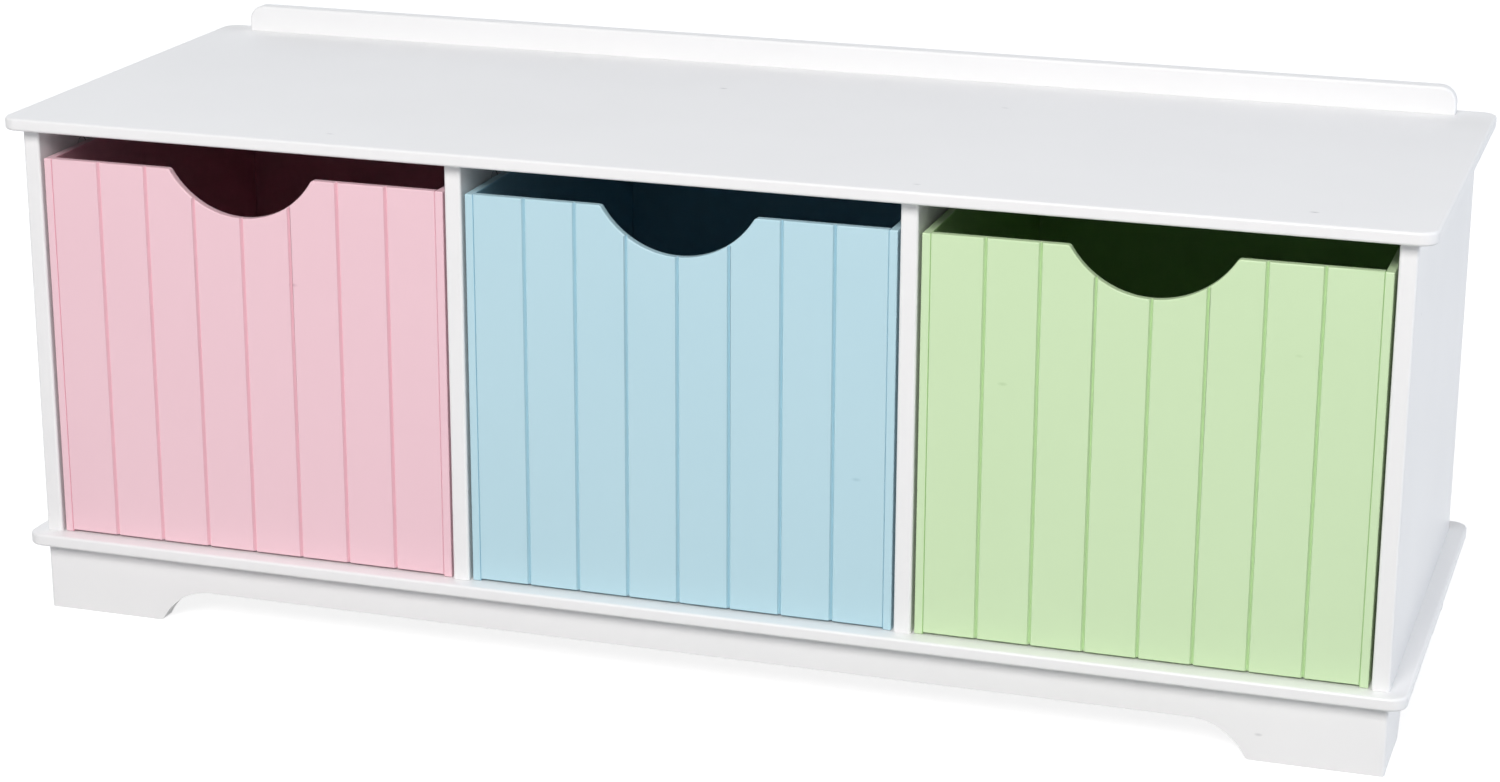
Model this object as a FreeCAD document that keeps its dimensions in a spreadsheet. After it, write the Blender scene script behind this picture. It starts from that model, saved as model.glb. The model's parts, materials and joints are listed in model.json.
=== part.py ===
"""Low storage bench: a white carcass with three bays, and a grooved bin that slides out of each bay.

The frame stands on the floor at z = 0, with x across the bench and y from its front (negative) to its back.
Every size is a cell of the sheet, and every place is a formula of those cells.
"""
import FreeCAD, Part
import os
import re

import Sketcher

# Driving sizes in millimetres, and counts: one cell of the sheet each.
SIZES = {
    # Top panel and base panel, which share one plan
    "top_width": 990,
    "top_depth": 357,
    "top_thickness": 9,
    "base_thickness": 9,
    "plan_corner_radius": 12,
    "panel_edge_round": 2.5,
    "seat_height": 366,
    "side_overhang": 12,
    "front_overhang": 11,
    "back_overhang": 20,
    # Side panels and dividers
    "upright_thickness": 12,
    "upright_edge_round": 2,
    # Plinth: skirts with bracket feet, and the blocks in its corners
    "plinth_height": 50,
    "skirt_thickness": 12,
    "skirt_clear_height": 25,
    "scoop_radius": 42,
    "front_foot_length": 90,
    "side_foot_length": 65,
    "foot_corner_round": 4,
    "block_size": 24,
    # Rail along the rear of the top
    "rail_height": 20,
    "rail_thickness": 12,
    "rail_end_inset": 28,
    "rail_back_inset": 8,
    "rail_corner_radius": 12,
    "rail_edge_round": 2,
    # Hardboard back
    "back_panel_thickness": 3,
    "back_panel_margin": 3,
    "back_panel_clearance": 0.3,
    # Bins
    "bin_board": 6,
    "bin_bottom_thickness": 6,
    "bin_side_gap": 2,
    "bin_top_gap": 21,
    "bin_rest_gap": 0.2,
    "bin_front_recess": 2,
    "bin_back_gap": 4,
    "board_lift": 1.5,
    "groove_count": 7,
    "groove_width": 3,
    "groove_depth": 1.5,
    "cutout_width": 108,
    "cutout_depth": 31,
    "cutout_corner_round": 3,
    # Fastenings of the uprights to the top and the base
    "fixing_inset": 60,
    "dowel_spacing": 32,
    "dowel_diameter": 6,
    "dowel_edge_bite": 14,
    "cam_diameter": 12,
    "cam_depth_share": 0.8,
    "cam_drop": 24,
    "cam_slot_width": 1.4,
    "cam_slot_length": 8,
    "cam_slot_depth": 1.5,
    "bolt_thread_diameter": 5,
    "bolt_shank_diameter": 4,
    "bolt_head_diameter": 6,
    "bolt_head_height": 4,
    "base_screw_inset": 40,
    "base_screw_diameter": 4,
    "base_screw_length": 45,
    "base_screw_head_diameter": 8,
    "base_screw_head_height": 2.5,
    # Fastenings of the plinth
    "plinth_dowel_spread": 60,
    "block_screw_offset": 6,
    "block_screw_diameter": 3,
    "block_screw_head_diameter": 6,
    "block_screw_head_height": 2,
    # Fastenings of the rail
    "rail_screw_count": 5,
    "rail_screw_end_inset": 50,
    "rail_screw_diameter": 3.5,
    "rail_screw_head_diameter": 7,
    "rail_screw_head_height": 2,
    # Nails of the back panel and pins of the bins
    "nail_count": 5,
    "nail_end_inset": 25,
    "nail_diameter": 1.4,
    "nail_bite": 14,
    "nail_head_diameter": 3.2,
    "nail_head_height": 0.8,
    "pin_count": 4,
    "pin_end_inset": 25,
    "pin_diameter": 1.6,
    "pin_length": 22,
    # How far a fastening bites into the board that it ends in, and how far an edge may be rounded
    "bite_share": 0.7,
    "round_limit_share": 0.4,
    # Room around fastenings in their holes, and how far a cut runs past the piece
    "hole_clearance": 0.1,
    "hole_end_clearance": 0.5,
    "overrun": 5,
}

# The uprights and the bins, each a row from left to right, one bay pitch apart.
UPRIGHTS = ["left_side_panel", "left_divider", "right_divider", "right_side_panel"]
BINS = ["left_bin", "middle_bin", "right_bin"]

# Places and sizes that follow from the driving ones, each from those above it.
LAYOUT = {
    "carcass_width": "top_width - 2 * side_overhang",
    "upright_front": "front_overhang - top_depth / 2",
    "upright_back": "top_depth / 2 - back_overhang",
    "upright_depth": "upright_back - upright_front",
    "upright_middle": "(upright_front + upright_back) / 2",
    "base_top": "plinth_height + base_thickness",
    "top_underside": "seat_height - top_thickness",
    "upright_height": "top_underside - base_top",
    "bay_width": f"(carcass_width - {len(UPRIGHTS)} * upright_thickness) / {len(BINS)}",
    "bay_pitch": "bay_width + upright_thickness",
    "upright_round": "min(upright_edge_round; upright_thickness * round_limit_share)",
    "rail_round": "min(rail_edge_round; rail_thickness * round_limit_share)",
    "scoop_run": "sqrt(scoop_radius ^ 2 - (scoop_radius - skirt_clear_height) ^ 2)",
    "side_skirt_length": "upright_depth - 2 * skirt_thickness",
    "rail_width": "top_width - 2 * rail_end_inset",
    "rail_middle": "top_depth / 2 - rail_back_inset - rail_thickness / 2",
    "back_panel_width": "carcass_width - 2 * back_panel_margin",
    "top_bite": "top_thickness * bite_share",
    "base_bite": "base_thickness * bite_share",
    "skirt_bite": "skirt_thickness * bite_share",
    "rail_bite": "rail_height * bite_share",
    "cam_depth": "upright_thickness * cam_depth_share",
    "front_row": "upright_front + fixing_inset",
    "rear_row": "upright_back - fixing_inset",
    "block_x": "carcass_width / 2 - skirt_thickness - block_size / 2",
    "block_front_y": "upright_front + skirt_thickness + block_size / 2",
    "block_rear_y": "upright_back - skirt_thickness - block_size / 2",
    "block_z": "plinth_height - block_size / 2",
    "bin_width": "bay_width - 2 * bin_side_gap",
    "bin_inner_width": "bin_width - 2 * bin_board",
    "bin_depth": "upright_depth - bin_front_recess - bin_back_gap",
    "bin_height": "upright_height - bin_top_gap - bin_rest_gap",
    "bin_front_y": "upright_front + bin_front_recess",
    "bin_floor_z": "base_top + bin_rest_gap",
    "cutout_radius": "((cutout_width / 2) ^ 2 + cutout_depth ^ 2) / (2 * cutout_depth)",
}

# The four corners of the plinth: the signs of x and y there.
CORNERS = {
    "front_left": (-1, -1),
    "front_right": (1, -1),
    "rear_left": (-1, 1),
    "rear_right": (1, 1),
}

PLANES = {"x": "YZ_Plane", "y": "XZ_Plane", "z": "XY_Plane"}

# A sketch's own numbers for its origin, and for the start, the end and the centre of a line or an arc.
ORIGIN = -1
START_POINT, END_POINT, CENTRE_POINT = range(1, 4)

# Two lengths in millimetres closer than this are taken as one.
NEAR = 0.01

doc = FreeCAD.newDocument("storage_bench")
sheet = doc.addObject("Spreadsheet::Sheet", "sizes")
layout = doc.addObject("App::VarSet", "layout")


def qualified(formula):
    """Names the sheet or the layout before each of their values in a formula."""

    def with_owner(match):
        word = match.group()
        if word in SIZES:
            return f"sizes.{word}"
        return f"layout.{word}" if word in LAYOUT else word

    return re.sub(r"[a-z]\w*", with_owner, str(formula))


def value(formula):
    """The number that a formula gives."""
    return float(layout.evalExpression(qualified(formula)))


def count(name):
    """A whole number of the sheet."""
    return int(round(value(name)))


def fill_sheet():
    """Writes the driving sizes into the sheet, with an alias each."""
    for row, (name, size) in enumerate(SIZES.items(), start=1):
        sheet.set(f"A{row}", name)
        sheet.set(f"B{row}", str(size))
        sheet.setAlias(f"B{row}", name)
    doc.recompute()


def fill_layout():
    """Binds the derived values to the sheet."""
    for name, formula in LAYOUT.items():
        layout.addProperty("App::PropertyFloat", name)
        layout.setExpression(name, qualified(formula))
    doc.recompute()


def new_body(name, x="0", y="0", z="0"):
    """An empty sub-part, placed by three formulas."""
    body = doc.addObject("PartDesign::Body", name)
    body.Label = name
    for axis, formula in zip("xyz", (x, y, z)):
        body.setExpression(f"Placement.Base.{axis}", qualified(formula))
    return body


def sketch_across(body, axis, level):
    """A sketch square to an axis, at that level along it."""
    sketch = body.newObject("Sketcher::SketchObject", f"{body.Name}_sketch")
    plane = next(item for item in body.Origin.OriginFeatures if item.Role == PLANES[axis])
    sketch.AttachmentSupport = (plane, [""])
    sketch.MapMode = "FlatFace"
    sign = "-" if axis == "y" else ""
    sketch.setExpression("AttachmentOffset.Base.z", qualified(f"{sign}({level})"))
    return sketch


def bind(sketch, ties):
    """Adds constraints to the sketch and binds each one's value to its formula."""
    first = sketch.ConstraintCount
    sketch.addConstraint([Sketcher.Constraint(*tie, value(formula)) for formula, *tie in ties])
    for index, (formula, *_) in enumerate(ties, start=first):
        sketch.setExpression(f"Constraints[{index}]", qualified(formula))


def pinned(geometry, point, across, up):
    """The two ties that hold a point of a sketch at two formulas from its origin."""
    return [
        (across, "DistanceX", ORIGIN, START_POINT, geometry, point),
        (up, "DistanceY", ORIGIN, START_POINT, geometry, point),
    ]


def draw_circles(sketch, centres, diameter):
    """Draws a circle of one diameter at each centre."""
    radius = value(diameter) / 2
    middles = [FreeCAD.Vector(value(across), value(up), 0) for across, up in centres]
    sketch.addGeometry([Part.Circle(middle, FreeCAD.Vector(0, 0, 1), radius) for middle in middles])
    sketch.addConstraint([Sketcher.Constraint("Equal", 0, other) for other in range(1, len(centres))])
    ties = [(diameter, "Diameter", 0)]
    for index, (across, up) in enumerate(centres):
        ties += pinned(index, CENTRE_POINT, across, up)
    bind(sketch, ties)


def draw_outline(sketch, corners, arcs=None):
    """Draws a closed outline, anticlockwise, through corners given as formulas.

    arcs gives, for the corner where a round stretch starts, its centre and radius.
    """
    arcs = arcs or {}
    first = sketch.GeometryCount
    points = [FreeCAD.Vector(value(across), value(up), 0) for across, up in corners]
    for index, start in enumerate(points):
        end = points[(index + 1) % len(points)]
        if index in arcs:
            across, up, radius = arcs[index]
            centre = FreeCAD.Vector(value(across), value(up), 0)
            circle = Part.Circle(centre, FreeCAD.Vector(0, 0, 1), value(radius))
            sketch.addGeometry(Part.ArcOfCircle(circle, circle.parameter(start), circle.parameter(end)))
        else:
            sketch.addGeometry(Part.LineSegment(start, end))
    ties = [(radius, "Radius", first + index) for index, (_, _, radius) in arcs.items()]
    for index, (across, up) in enumerate(corners):
        line = first + index
        before = first + (index - 1) % len(corners)
        sketch.addConstraint(Sketcher.Constraint("Coincident", before, END_POINT, line, START_POINT))
        ties += pinned(line, START_POINT, across, up)
    bind(sketch, ties)


def rectangle(left, low, right, high):
    """The corners of a rectangle."""
    return [(left, low), (right, low), (right, high), (left, high)]


def pad(body, sketch, axis, length, toward=1):
    """Pads a sketch along its axis."""
    feature = body.newObject("PartDesign::Pad", f"{body.Name}_pad")
    feature.Profile = sketch
    feature.setExpression("Length", qualified(length))
    feature.Reversed = (toward < 0) != (axis == "y")
    return feature


def pocket(body, sketch, axis, depth, toward=1):
    """Cuts a sketch into the body along its axis."""
    feature = body.newObject("PartDesign::Pocket", f"{body.Name}_pocket")
    feature.Profile = sketch
    feature.setExpression("Length", qualified(depth))
    feature.Reversed = (toward > 0) != (axis == "y")
    return feature


def add_slab(body, axis, level, corners, thickness, toward=1):
    """Pads an outline of straight lines."""
    sketch = sketch_across(body, axis, level)
    draw_outline(sketch, corners)
    return pad(body, sketch, axis, thickness, toward)


def add_rods(body, axis, level, centres, diameter, length, toward=1):
    """Pads round rods: shanks, heads, dowels or pins."""
    sketch = sketch_across(body, axis, level)
    draw_circles(sketch, centres, diameter)
    return pad(body, sketch, axis, length, toward)


def cut_holes(body, axis, level, centres, diameter, depth, toward=1):
    """Cuts round holes with room around what they hold."""
    sketch = sketch_across(body, axis, level)
    draw_circles(sketch, centres, f"{diameter} + 2 * hole_clearance")
    return pocket(body, sketch, axis, depth, toward)


def cut_blind_holes(body, axis, level, centres, diameter, bite, toward=1):
    """Cuts round holes that also leave room past the ends of what they hold."""
    return cut_holes(body, axis, level, centres, diameter, f"{bite} + hole_end_clearance", toward)


def edges_of(feature, test):
    """The names of a feature's edges whose box passes a test."""
    doc.recompute()
    edges = enumerate(feature.Shape.Edges, start=1)
    return [f"Edge{number}" for number, edge in edges if test(edge.BoundBox)]


def round_edges(body, test, radius):
    """Rounds the edges of the body's last feature that pass a test."""
    base = body.Tip
    edges = edges_of(base, test)
    feature = body.newObject("PartDesign::Fillet", f"{body.Name}_round")
    feature.Base = (base, edges)
    feature.setExpression("Radius", qualified(radius))
    return feature


def runs_along(box, axis):
    """Whether an edge's box is a straight run along one axis."""
    lengths = {"x": box.XLength, "y": box.YLength, "z": box.ZLength}
    return all((length > NEAR) == (name == axis) for name, length in lengths.items())


def is_near(first, second):
    """Whether two lengths agree."""
    return abs(first - second) < NEAR


def grid(columns, rows):
    """Every pairing of columns and rows."""
    return [(column, row) for column in columns for row in rows]


def spread(number, low, high):
    """Evenly spaced places from one formula to another."""
    return [f"({low}) + {index} * (({high}) - ({low})) / {number - 1}" for index in range(number)]


def row_x(row, name):
    """Where one piece of a row stands across the bench, with the middle of the row at x = 0."""
    return f"({row.index(name)} - {len(row) - 1} / 2) * bay_pitch"


def facing(name):
    """Which way along x an upright's cam locks face: towards the middle of the bench."""
    return 1 if UPRIGHTS.index(name) < len(UPRIGHTS) / 2 else -1


# Places that the holes and the fastenings share.
UPRIGHT_COLUMNS = [row_x(UPRIGHTS, name) for name in UPRIGHTS]
BOLT_ROWS = ["front_row", "rear_row"]
DOWEL_ROWS = ["front_row + dowel_spacing", "rear_row - dowel_spacing"]
BASE_SCREW_ROWS = ["upright_front + base_screw_inset", "upright_back - base_screw_inset"]
SKIRT_DOWEL_COLUMNS = ["-bay_pitch", "0", "bay_pitch"]
SKIRT_DOWEL_ROWS = ["upright_middle - plinth_dowel_spread", "upright_middle + plinth_dowel_spread"]
FRONT_SKIRT_MIDDLE = "upright_front + skirt_thickness / 2"
REAR_SKIRT_MIDDLE = "upright_back - skirt_thickness / 2"
LEFT_SKIRT_MIDDLE = "-(carcass_width - skirt_thickness) / 2"
RIGHT_SKIRT_MIDDLE = "(carcass_width - skirt_thickness) / 2"
PLINTH_DOWELS = grid(SKIRT_DOWEL_COLUMNS, [FRONT_SKIRT_MIDDLE, REAR_SKIRT_MIDDLE])
PLINTH_DOWELS += grid([LEFT_SKIRT_MIDDLE, RIGHT_SKIRT_MIDDLE], SKIRT_DOWEL_ROWS)


def rail_screw_columns():
    """Where the rail's screws stand across the bench."""
    end = "rail_width / 2 - rail_screw_end_inset"
    return spread(count("rail_screw_count"), f"-({end})", end)


def nail_heights():
    """How high the back panel's nails sit above the base panel."""
    return spread(count("nail_count"), "nail_end_inset", "upright_height - nail_end_inset")


def block_centre(corner):
    """The middle of a corner block, as three formulas."""
    x_sign, y_sign = CORNERS[corner]
    return f"{x_sign} * block_x", "block_front_y" if y_sign < 0 else "block_rear_y", "block_z"


def shifted(place, sign, size):
    """A formula moved by a size, one way or the other."""
    return f"{place} {'+' if sign > 0 else '-'} {size}"


def block_screw_places(corner):
    """Where a block's screws run: across x in y and z, across y in x and z, and upright in x and y."""
    x_sign, y_sign = CORNERS[corner]
    x, y, z = block_centre(corner)
    along_x = (shifted(y, -y_sign, "block_screw_offset"), shifted(z, -1, "block_screw_offset"))
    along_y = (shifted(x, -x_sign, "block_screw_offset"), shifted(z, 1, "block_screw_offset"))
    along_z = (shifted(x, x_sign, "block_screw_offset"), shifted(y, y_sign, "block_screw_offset"))
    return {"x": along_x, "y": along_y, "z": along_z}


def make_plan_panel(name, thickness, z):
    """A panel of the bench's plan, with rounded corners and eased edges."""
    body = new_body(name, z=z)
    corners = rectangle("-top_width / 2", "-top_depth / 2", "top_width / 2", "top_depth / 2")
    add_slab(body, "z", "0", corners, thickness)
    round_edges(body, lambda box: runs_along(box, "z"), "plan_corner_radius")
    radius = f"min(panel_edge_round; {thickness} * round_limit_share)"
    round_edges(body, lambda box: box.ZLength < NEAR, radius)
    return body


def make_top_panel():
    """The top: blind holes from below for the uprights' fastenings, through holes for the rail's screws."""
    body = make_plan_panel("top_panel", "top_thickness", "top_underside")
    cut_blind_holes(body, "z", "0", grid(UPRIGHT_COLUMNS, DOWEL_ROWS), "dowel_diameter", "top_bite")
    cut_blind_holes(body, "z", "0", grid(UPRIGHT_COLUMNS, BOLT_ROWS), "bolt_thread_diameter", "top_bite")
    screws = grid(rail_screw_columns(), ["rail_middle"])
    cut_holes(body, "z", "0", screws, "rail_screw_diameter", "top_thickness")
    cut_holes(body, "z", "0", screws, "rail_screw_head_diameter", "rail_screw_head_height")
    return body


def make_base_panel():
    """The base: screw holes up to the uprights, and blind holes from below for the plinth."""
    body = make_plan_panel("base_panel", "base_thickness", "plinth_height")
    screws = grid(UPRIGHT_COLUMNS, BASE_SCREW_ROWS)
    cut_holes(body, "z", "0", screws, "base_screw_diameter", "base_thickness")
    cut_holes(body, "z", "0", screws, "base_screw_head_diameter", "base_screw_head_height")
    cut_blind_holes(body, "z", "0", PLINTH_DOWELS, "dowel_diameter", "base_bite")
    block_screws = [block_screw_places(corner)["z"] for corner in CORNERS]
    cut_blind_holes(body, "z", "0", block_screws, "block_screw_diameter", "base_bite")
    return body


def make_upright(name):
    """A side panel or divider, drilled for its fastenings, with eased front edges."""
    body = new_body(name, x=row_x(UPRIGHTS, name), z="base_top")
    half = "upright_thickness / 2"
    corners = rectangle(f"-{half}", "upright_front", half, "upright_back")
    add_slab(body, "z", "0", corners, "upright_height")
    front = value("upright_front")
    round_edges(body, lambda box: runs_along(box, "z") and is_near(box.YMin, front), "upright_round")
    dowels = grid(["0"], DOWEL_ROWS)
    cut_blind_holes(body, "z", "upright_height", dowels, "dowel_diameter", "dowel_edge_bite", -1)
    bolts = grid(["0"], BOLT_ROWS)
    cut_holes(body, "z", "upright_height", bolts, "bolt_head_diameter", "cam_drop", -1)
    way = facing(name)
    cams = grid(BOLT_ROWS, ["upright_height - cam_drop"])
    cut_holes(body, "x", f"{way} * {half}", cams, "cam_diameter", "cam_depth", -way)
    screws = grid(["0"], BASE_SCREW_ROWS)
    cut_blind_holes(body, "z", "0", screws, "base_screw_diameter", "base_screw_length - base_thickness")
    nails = grid(["0"], nail_heights())
    cut_blind_holes(body, "y", "upright_back", nails, "nail_diameter", "nail_bite", -1)
    return body


def make_back_panel():
    """The hardboard back, nailed to the rear edges of the uprights."""
    body = new_body("back_panel", y="upright_back", z="base_top")
    half = "back_panel_width / 2"
    corners = rectangle(f"-{half}", "back_panel_clearance", half, "upright_height - back_panel_clearance")
    add_slab(body, "y", "0", corners, "back_panel_thickness")
    nails = grid(UPRIGHT_COLUMNS, nail_heights())
    cut_holes(body, "y", "0", nails, "nail_diameter", "back_panel_thickness")
    return body


def make_back_rail():
    """The low rail on the rear of the top, with rounded upper corners and eased edges."""
    body = new_body("back_rail", y="rail_middle", z="seat_height")
    corners = rectangle("-rail_width / 2", "0", "rail_width / 2", "rail_height")
    add_slab(body, "y", "-rail_thickness / 2", corners, "rail_thickness")
    top = value("rail_height")
    round_edges(body, lambda box: runs_along(box, "y") and is_near(box.ZMax, top), "rail_corner_radius")
    round_edges(body, lambda box: box.YLength < NEAR and box.ZMax > NEAR, "rail_round")
    screws = grid(rail_screw_columns(), ["0"])
    cut_blind_holes(body, "z", "0", screws, "rail_screw_diameter", "rail_bite")
    return body


def scoop_feet(body, axis, middle, half_length, foot_length):
    """Cuts a skirt up between its bracket feet, and rounds the feet's inner corners."""
    gap = f"({half_length} - {foot_length})"
    flat = f"({gap} - scoop_run)"
    floor = "skirt_clear_height - scoop_radius"
    corners = [
        (f"{middle} - {gap}", "-overrun"),
        (f"{middle} + {gap}", "-overrun"),
        (f"{middle} + {gap}", "0"),
        (f"{middle} + {flat}", "skirt_clear_height"),
        (f"{middle} - {flat}", "skirt_clear_height"),
        (f"{middle} - {gap}", "0"),
    ]
    arcs = {
        2: (f"{middle} + {flat}", floor, "scoop_radius"),
        4: (f"{middle} - {flat}", floor, "scoop_radius"),
    }
    sketch = sketch_across(body, axis, "0")
    draw_outline(sketch, corners, arcs)
    pocket(body, sketch, axis, "skirt_thickness")
    ends = [value(f"{middle} + {gap}"), value(f"{middle} - {gap}")]

    def at_foot(box):
        place = box.YMin if axis == "x" else box.XMin
        on_floor = is_near(box.ZMax, 0) and runs_along(box, axis)
        return on_floor and any(is_near(place, end) for end in ends)

    round_edges(body, at_foot, "foot_corner_round")


def make_long_skirt(name, y, block_row, inner_side):
    """The front or the rear skirt, as wide as the carcass."""
    body = new_body(name, y=y)
    half = "carcass_width / 2"
    add_slab(body, "y", "0", rectangle(f"-{half}", "0", half, "plinth_height"), "skirt_thickness")
    scoop_feet(body, "y", "0", half, "front_foot_length")
    dowels = grid(SKIRT_DOWEL_COLUMNS, ["skirt_thickness / 2"])
    cut_blind_holes(body, "z", "plinth_height", dowels, "dowel_diameter", "dowel_edge_bite", -1)
    screws = [block_screw_places(corner)["y"] for corner in CORNERS if block_centre(corner)[1] == block_row]
    face = "skirt_thickness" if inner_side > 0 else "0"
    cut_blind_holes(body, "y", face, screws, "block_screw_diameter", "skirt_bite", -inner_side)
    return body


def make_side_skirt(name, x, x_sign):
    """The skirt under one end of the carcass, between the front and the rear skirts."""
    body = new_body(name, x=x)
    half = "side_skirt_length / 2"
    corners = rectangle(f"upright_middle - {half}", "0", f"upright_middle + {half}", "plinth_height")
    add_slab(body, "x", "0", corners, "skirt_thickness")
    scoop_feet(body, "x", "upright_middle", half, "(side_foot_length - skirt_thickness)")
    dowels = grid(["skirt_thickness / 2"], SKIRT_DOWEL_ROWS)
    cut_blind_holes(body, "z", "plinth_height", dowels, "dowel_diameter", "dowel_edge_bite", -1)
    screws = [block_screw_places(corner)["x"] for corner, signs in CORNERS.items() if signs[0] == x_sign]
    face = "0" if x_sign > 0 else "skirt_thickness"
    cut_blind_holes(body, "x", face, screws, "block_screw_diameter", "skirt_bite", x_sign)
    return body


def make_corner_block(corner):
    """A square block in a corner of the plinth, drilled three ways."""
    x_sign, y_sign = CORNERS[corner]
    x, y, z = block_centre(corner)
    body = new_body(f"{corner}_corner_block", x, y, z)
    half = "block_size / 2"
    add_slab(body, "z", f"-{half}", rectangle(f"-{half}", f"-{half}", half, half), "block_size")
    offset = "block_screw_offset"
    places = {
        "x": (f"{-y_sign} * {offset}", f"-{offset}"),
        "y": (f"{-x_sign} * {offset}", offset),
        "z": (f"{x_sign} * {offset}", f"{y_sign} * {offset}"),
    }
    for axis, place in places.items():
        cut_holes(body, axis, f"-{half}", [place], "block_screw_diameter", "block_size")
    return body


def make_top_dowels():
    """Dowels between the uprights and the top."""
    body = new_body("top_dowels", z="top_underside")
    length = "dowel_edge_bite + top_bite"
    add_rods(body, "z", "-dowel_edge_bite", grid(UPRIGHT_COLUMNS, DOWEL_ROWS), "dowel_diameter", length)
    return body


def make_plinth_dowels():
    """Dowels between the skirts and the base."""
    body = new_body("plinth_dowels", z="plinth_height")
    length = "dowel_edge_bite + base_bite"
    add_rods(body, "z", "-dowel_edge_bite", PLINTH_DOWELS, "dowel_diameter", length)
    return body


def make_cam_bolts():
    """Bolts that hang from the top into the cam locks: thread, shank and head."""
    body = new_body("cam_bolts", z="top_underside")
    bolts = grid(UPRIGHT_COLUMNS, BOLT_ROWS)
    shank = "cam_drop - bolt_head_height"
    add_rods(body, "z", "0", bolts, "bolt_thread_diameter", "top_bite")
    add_rods(body, "z", "0", bolts, "bolt_shank_diameter", shank, -1)
    add_rods(body, "z", f"-({shank})", bolts, "bolt_head_diameter", "bolt_head_height", -1)
    return body


def make_cam_locks():
    """Round cam locks in the uprights, bored for the bolts' heads and slotted for a driver."""
    body = new_body("cam_locks", z="top_underside")
    cams = grid(BOLT_ROWS, ["-cam_drop"])
    half_slot = "cam_slot_width / 2"
    half_length = "cam_slot_length / 2"
    for name in UPRIGHTS:
        way = facing(name)
        face = f"{row_x(UPRIGHTS, name)} + {way} * upright_thickness / 2"
        add_rods(body, "x", face, cams, "cam_diameter", "cam_depth", -way)
        for row in BOLT_ROWS:
            sketch = sketch_across(body, "x", face)
            low = f"-cam_drop - {half_length}"
            high = f"-cam_drop + {half_length}"
            draw_outline(sketch, rectangle(f"{row} - {half_slot}", low, f"{row} + {half_slot}", high))
            pocket(body, sketch, "x", "cam_slot_depth", -way)
    bolts = grid(UPRIGHT_COLUMNS, BOLT_ROWS)
    cut_holes(body, "z", "-cam_drop", bolts, "bolt_head_diameter", "cam_diameter")
    return body


def make_base_screws():
    """Screws up through the base into the uprights, with their heads flush below."""
    body = new_body("base_screws", z="plinth_height")
    screws = grid(UPRIGHT_COLUMNS, BASE_SCREW_ROWS)
    add_rods(body, "z", "0", screws, "base_screw_diameter", "base_screw_length")
    add_rods(body, "z", "0", screws, "base_screw_head_diameter", "base_screw_head_height")
    return body


def make_rail_screws():
    """Screws up through the top into the rail, with their heads flush below."""
    body = new_body("rail_screws", z="top_underside")
    screws = grid(rail_screw_columns(), ["rail_middle"])
    add_rods(body, "z", "0", screws, "rail_screw_diameter", "top_thickness + rail_bite")
    add_rods(body, "z", "0", screws, "rail_screw_head_diameter", "rail_screw_head_height")
    return body


def make_block_screws():
    """Three screws in each corner block: two into the skirts and one up into the base."""
    body = new_body("block_screws")
    for corner, (x_sign, y_sign) in CORNERS.items():
        ways = {"x": (x_sign, "skirt_bite"), "y": (y_sign, "skirt_bite"), "z": (1, "base_bite")}
        for (axis, (way, bite)), middle in zip(ways.items(), block_centre(corner)):
            place = block_screw_places(corner)[axis]
            face = f"{middle} - {way} * block_size / 2"
            add_rods(body, axis, face, [place], "block_screw_diameter", f"block_size + {bite}", way)
            add_rods(body, axis, face, [place], "block_screw_head_diameter", "block_screw_head_height", -way)
    return body


def make_back_panel_nails():
    """Nails through the back panel into the uprights."""
    body = new_body("back_panel_nails", y="upright_back + back_panel_thickness", z="base_top")
    nails = grid(UPRIGHT_COLUMNS, nail_heights())
    add_rods(body, "y", "0", nails, "nail_diameter", "nail_bite + back_panel_thickness", -1)
    add_rods(body, "y", "0", nails, "nail_head_diameter", "nail_head_height")
    return body


def pin_heights():
    """How high a bin's pins sit in its front and back boards."""
    return spread(count("pin_count"), "board_lift + pin_end_inset", "bin_height - pin_end_inset")


def bottom_pin_rows():
    """How far from the front a bin's pins sit in its bottom board."""
    return spread(count("pin_count"), "bin_board + pin_end_inset", "bin_depth - bin_board - pin_end_inset")


def bin_pin_places():
    """Where the pins run through a bin's side boards, in y and z."""
    corner_rows = ["bin_board / 2", "bin_depth - bin_board / 2"]
    bottom_height = "board_lift + bin_bottom_thickness / 2"
    return grid(corner_rows, pin_heights()) + grid(bottom_pin_rows(), [bottom_height])


def new_bin_body(bin_name, piece):
    """An empty piece of a bin, in the bin's own frame: front at y = 0, on z = 0, middle at x = 0."""
    return new_body(f"{bin_name}_{piece}", row_x(BINS, bin_name), "bin_front_y", "bin_floor_z")


def cut_end_holes(body, places):
    """Cuts pin holes into both ends of a board that stands between a bin's sides."""
    bite = "pin_length - bin_board"
    for way in (-1, 1):
        cut_blind_holes(body, "x", f"{way} * bin_inner_width / 2", places, "pin_diameter", bite, -way)


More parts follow.
